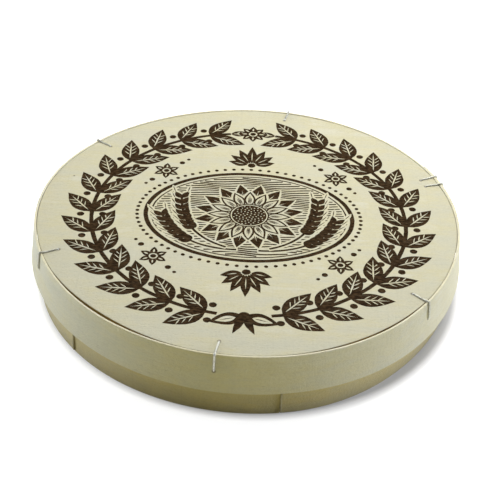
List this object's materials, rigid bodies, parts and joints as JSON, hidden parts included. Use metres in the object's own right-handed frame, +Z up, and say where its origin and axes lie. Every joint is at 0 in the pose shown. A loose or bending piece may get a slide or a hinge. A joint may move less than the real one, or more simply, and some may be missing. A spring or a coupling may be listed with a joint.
{
  "type": "shut round wooden cheese box",
  "caption": "Low, round box of thin bent wood with a fitted lid, shut and solid inside, held by bent wire staples. It stores and carries a whole soft cheese.",
  "frame": {"origin": "under the middle of the box, on the surface it stands on", "axes": "+Z up, from the underside to the lid; the side shown in the picture faces -Y"},
  "size_m": [0.2462, 0.2454, 0.0409],
  "materials": {
    "printed_panel": "pale sawn poplar with brown print",
    "lid_veneer": "pale bent poplar veneer, matt",
    "base_veneer": "pale bent poplar veneer, matt",
    "bottom_panel": "pale sawn poplar, matt",
    "staple_wire": "bright drawn wire"
  },
  "bodies": {
    "root": {"lid_panel": "printed_panel", "lid_band": "lid_veneer", "base_band": "base_veneer", "base_core": "bottom_panel", "lid_staple_1": "staple_wire", "lid_staple_2": "staple_wire", "lid_staple_3": "staple_wire", "lid_staple_4": "staple_wire", "lid_staple_5": "staple_wire", "lid_staple_6": "staple_wire", "lid_staple_7": "staple_wire", "base_staple_1": "staple_wire", "base_staple_2": "staple_wire", "base_staple_3": "staple_wire", "base_staple_4": "staple_wire", "base_staple_5": "staple_wire", "base_staple_6": "staple_wire"}
  },
  "joints": []
}
